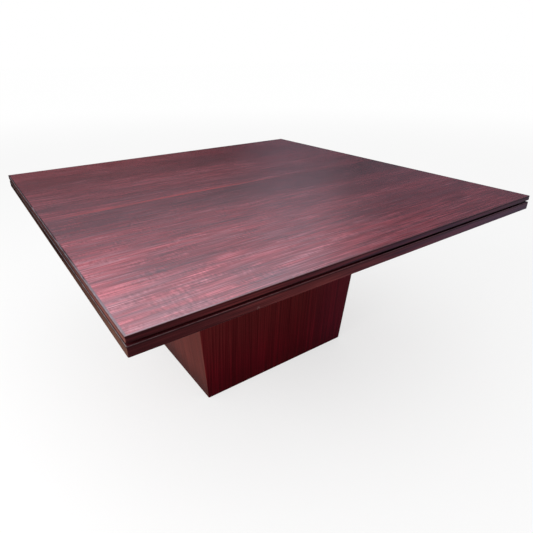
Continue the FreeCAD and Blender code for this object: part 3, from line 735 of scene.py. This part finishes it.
def plywood():
    """Birch plywood: pale faces with open grain, and its plies as lines on the edges."""
    surface = Surface("plywood")
    tree = surface.tree
    edge = remap(tree, maths(tree, "ABSOLUTE", surface.facing()[2]), 0.4, 0.7, 1.0, 0.0)
    plies = maths(tree, "SINE", times(tree, surface.z, math.tau / PLY_PAIR))
    plies = remap(tree, plies, -0.5, 0.5)
    face = stretched(tree, (surface.x, surface.y, 0.0), *PLY_GRAIN_SIZE, detail=4.0)
    tone = scaled(tree, face, 0.7, times(tree, times(tree, edge, plies), 0.35))
    surface.set(Base_Color=ramp(tree, tone, PLY_TONES))
    surface.gloss(scaled(tree, face, 0.2, 0.5), level=0.25)
    surface.bump(face, rise=0.0003, strength=0.3)
    return surface.material


# Tones of the slot, the zinc and the nylon, dark and light, and how dense the scratches are along X and Y
REVEAL_TONES = ((0.30, rgb(0.003, 0.001, 0.001)), (0.70, rgb(0.008, 0.003, 0.003)))
ZINC_TONES = ((0.30, rgb(0.42, 0.42, 0.40)), (0.70, rgb(0.62, 0.62, 0.60)))
NYLON_TONES = ((0.35, rgb(0.010, 0.010, 0.010)), (0.70, rgb(0.028, 0.027, 0.026)))
SCRATCHES_X = 2500.0
SCRATCHES_Y = 300.0


def reveal_stain():
    """Wood stained black in the slot, with the grain just showing."""
    surface = Surface("reveal_stain")
    tree = surface.tree
    grain = noise(tree, surface.place, scale=90.0, detail=4.0)
    surface.set(Base_Color=ramp(tree, grain, REVEAL_TONES))
    surface.gloss(scaled(tree, grain, 0.2, 0.55), level=0.02)
    surface.bump(grain, rise=0.0002, strength=0.3)
    return surface.material


def zinc_steel():
    """Zinc plated steel, a little cloudy and scratched."""
    surface = Surface("zinc_steel")
    tree = surface.tree
    cloud = noise(tree, surface.place, scale=160.0, detail=4.0)
    fine_x = times(tree, surface.x, SCRATCHES_X)
    fine_y = times(tree, surface.y, SCRATCHES_Y)
    scratch = noise(tree, joined(tree, fine_x, fine_y, surface.z))
    surface.set(Base_Color=ramp(tree, cloud, ZINC_TONES), Metallic=1.0)
    surface.set(Roughness=scaled(tree, scratch, 0.25, 0.22))
    surface.bump(scratch, rise=0.0001, strength=0.2)
    return surface.material


def black_nylon():
    """Moulded black nylon with a fine spark-eroded texture."""
    surface = Surface("black_nylon")
    tree = surface.tree
    texture = noise(tree, surface.place, scale=1800.0)
    dust = noise(tree, surface.place, scale=60.0, detail=4.0)
    surface.set(Base_Color=ramp(tree, dust, NYLON_TONES))
    surface.gloss(scaled(tree, texture, 0.2, 0.45), level=0.35)
    surface.bump(texture, rise=0.0001, strength=0.3)
    return surface.material


# Materials of the table's pieces
veneer = top_veneer()
lipping = {axis: edge_wood("lipping", axis, TABLE_HEIGHT) for axis in "xy"}
rail = {axis: edge_wood("rail", axis, LOWER_TOP) for axis in "xy"}
panel = {axis: pedestal_veneer(axis) for axis in "xy"}
soft = {axis: plain_wood(f"softwood_{axis}", axis, *SOFTWOOD) for axis in "xyz"}
bearer = plain_wood("bearer_stain", "y", *BEARER_STAIN)
beech = plain_wood("beech", "y", *BEECH, ring_width=0.002)
backing = plain_wood("backing_veneer", "x", *BACKING, ring_width=0.012)
board = core_board()
ply = plywood()
stain = reveal_stain()
zinc = zinc_steel()
nylon = black_nylon()

AXIS_OF_SIDE = {"front": "x", "back": "x", "left": "y", "right": "y"}
BY_SIDE = {
    "edge_lipping": lipping, "lower_rail": rail, "pedestal_panel": panel,
    "top_cleat": soft, "bottom_cleat": soft,
}
BY_NAME = {
    "face_veneer": veneer, "top_core": board, "backing_veneer": backing, "mitre_splines": ply,
    "pedestal_top_plate": ply, "bearer_dowels": beech, "bearer_left": bearer,
    "bearer_centre": bearer, "bearer_right": bearer,
}
BY_START = {
    "reveal_rail": stain, "corner_post": soft["z"], "foot_pad": nylon, "foot_stem": zinc,
    "rail_screws": zinc, "bearer_screws": zinc, "cleat_screws": zinc, "threaded_inserts": zinc,
    "pedestal_bolts": zinc, "bolt_washers": zinc, "tee_nuts": zinc,
}


def material_of(name):
    """Material of a CAD node, by its name."""
    if name in BY_NAME:
        return BY_NAME[name]
    start, _, side = name.rpartition("_")
    if start in BY_SIDE:
        return BY_SIDE[start][AXIS_OF_SIDE[side]]
    return next(made for begin, made in BY_START.items() if name.startswith(begin))


for name, piece in nodes.items():
    piece.data.materials.clear()
    piece.data.materials.append(material_of(name))


def placed(name, data):
    """A new object in the scene with a mesh, lamp or camera."""
    made = bpy.data.objects.new(name, data)
    bpy.context.scene.collection.objects.link(made)
    return made


def meshed(name, points, faces, material):
    """A new object in the scene from points and faces."""
    mesh = bpy.data.meshes.new(name)
    mesh.from_pydata(points, [], faces)
    mesh.materials.append(material)
    return placed(name, mesh)


# Floor: plain, pale and wide. Seen, it glows a little more with distance, up to the white of the world.
FLOOR_REACH = 60.0
FLOOR_LEVEL = 0.90
FLOOR_SEEN_LEVEL = 0.36
FLOOR_GLOW_REACH = (4.0, 11.0)
FLOOR_GLOW = (0.62, 0.69)
floor_surface = Surface("pale_floor")
floor_seen = seen_rays(floor_surface.tree)
floor_glow = distance(floor_surface.tree, floor_surface.place, (0.0, 0.0, 0.0))
floor_glow = remap(floor_surface.tree, floor_glow, *FLOOR_GLOW_REACH, *FLOOR_GLOW)
floor_surface.set(
    Base_Color=blend(floor_surface.tree, floor_seen, grey(FLOOR_LEVEL), grey(FLOOR_SEEN_LEVEL)),
    Emission_Color=grey(1.0),
    Emission_Strength=times(floor_surface.tree, floor_seen, floor_glow),
)
floor_surface.gloss(0.9, level=0.0)
corners = [(x * FLOOR_REACH, y * FLOOR_REACH, 0.0) for x, y in ((-1, -1), (1, -1), (1, 1), (-1, 1))]
floor = meshed("floor", corners, [(0, 1, 2, 3)], floor_surface.material)

# Light: a softbox at the left. The lacquer doesn't mirror it, because its sharp image would show from behind.
WINDOW_PLACE = Vector((-3.0, -1.05, 2.1))
WINDOW_TARGET = Vector((-0.6, -0.4, 0.6))
WINDOW_SIDE = 1.8
WINDOW_POWER = 62.0
window_light = bpy.data.lights.new("left_window", "AREA")
window_light.energy = WINDOW_POWER
window_light.shape = "RECTANGLE"
window_light.size = WINDOW_SIDE
window_light.size_y = WINDOW_SIDE
window = placed("left_window", window_light)
window.location = WINDOW_PLACE
window.rotation_euler = (WINDOW_PLACE - WINDOW_TARGET).to_track_quat("Z", "Y").to_euler()
window.visible_glossy = False

# World: an even light, seen as white
DOME_LEVEL = 0.85
world = bpy.data.worlds.new("studio")
bpy.context.scene.world = world
world.use_nodes = True
world.cycles.sampling_method = "NONE"
world_tree = world.node_tree
world_tree.nodes.clear()
world_colour = blend(world_tree, seen_rays(world_tree), grey(DOME_LEVEL), grey(1.0))
background = add(world_tree, "ShaderNodeBackground", {"Color": world_colour, "Strength": 1.0})
world_tree.links.new(background.outputs[0], add(world_tree, "ShaderNodeOutputWorld").inputs["Surface"])

# Dim drapes round the studio, seen by glossy rays alone, so that the lacquer mirrors them: on one side their
# level rises with height, and over a gap some light is added
DRAPE_RADIUS = 12.0
DRAPE_HEIGHT = 9.5
DRAPE_SIDES = 48
DRAPE_LEVELS = (
    (2.0, 0.0), (3.4, 0.04), (4.3, 0.235), (5.2, 0.395), (6.0, 0.49),
    (7.0, 0.56), (7.8, 1.50), (8.6, 2.50), (9.5, 2.60),
)
DRAPE_BLUER = 1.18
DRAPE_DIM = rgb(0.130, 0.135, 0.175)
DRAPE_PALE_SIDE = math.radians(14)
DRAPE_PALE_REACH = (math.radians(28), math.radians(43))
DRAPE_GAP = rgb(0.10, 0.10, 0.13)
DRAPE_GAP_SIDE = math.radians(40)
DRAPE_GAP_REACH = (0.02, math.radians(11))
drape_surface = Surface("grey_drapes")
drape_tree = drape_surface.tree
drape_level = ramp(
    drape_tree, maths(drape_tree, "DIVIDE", drape_surface.z, DRAPE_HEIGHT),
    [(height / DRAPE_HEIGHT, rgb(level, level, DRAPE_BLUER * level)) for height, level in DRAPE_LEVELS],
)
drape_azimuth = maths(drape_tree, "ARCTAN2", drape_surface.x, drape_surface.y)
drape_pale = remap(drape_tree, away(drape_tree, drape_azimuth, DRAPE_PALE_SIDE), *DRAPE_PALE_REACH, 1.0, 0.0)
drape_level = blend(drape_tree, drape_pale, DRAPE_DIM, drape_level)
drape_gap = remap(drape_tree, away(drape_tree, drape_azimuth, DRAPE_GAP_SIDE), *DRAPE_GAP_REACH, 1.0, 0.0)
drape_level = blend(drape_tree, drape_gap, drape_level, DRAPE_GAP, "ADD")
drape_surface.set(Base_Color=grey(0.0), Emission_Color=drape_level, Emission_Strength=1.0)
drape_surface.gloss(1.0, level=0.0)
ring = [math.tau * number / DRAPE_SIDES for number in range(DRAPE_SIDES)]
drape_points = [
    (DRAPE_RADIUS * math.cos(angle), DRAPE_RADIUS * math.sin(angle), level)
    for level in (0.0, DRAPE_HEIGHT) for angle in ring
]
drape_faces = [
    (number, (number + 1) % DRAPE_SIDES, DRAPE_SIDES + (number + 1) % DRAPE_SIDES, DRAPE_SIDES + number)
    for number in range(DRAPE_SIDES)
]
drapes = meshed("drapes", drape_points, drape_faces, drape_surface.material)
drapes.visible_camera = False
drapes.visible_diffuse = False
drapes.visible_transmission = False
drapes.visible_shadow = False

# Camera of the photo
camera_data = bpy.data.cameras.new("photo_camera")
camera_data.sensor_width = CAMERA_SENSOR
camera_data.lens = CAMERA_LENS
camera_data.clip_end = CAMERA_REACH
camera = placed("photo_camera", camera_data)
camera.location = CAMERA_PLACE
camera.rotation_mode = "QUATERNION"
camera.rotation_quaternion = (
    Quaternion((0, 0, 1), math.radians(-CAMERA_AZIMUTH))
    @ Quaternion((1, 0, 0), math.radians(90 - CAMERA_PITCH))
    @ Quaternion((0, 0, 1), math.radians(CAMERA_ROLL))
)
bpy.context.scene.camera = camera
bpy.context.scene.view_settings.view_transform = "Standard"
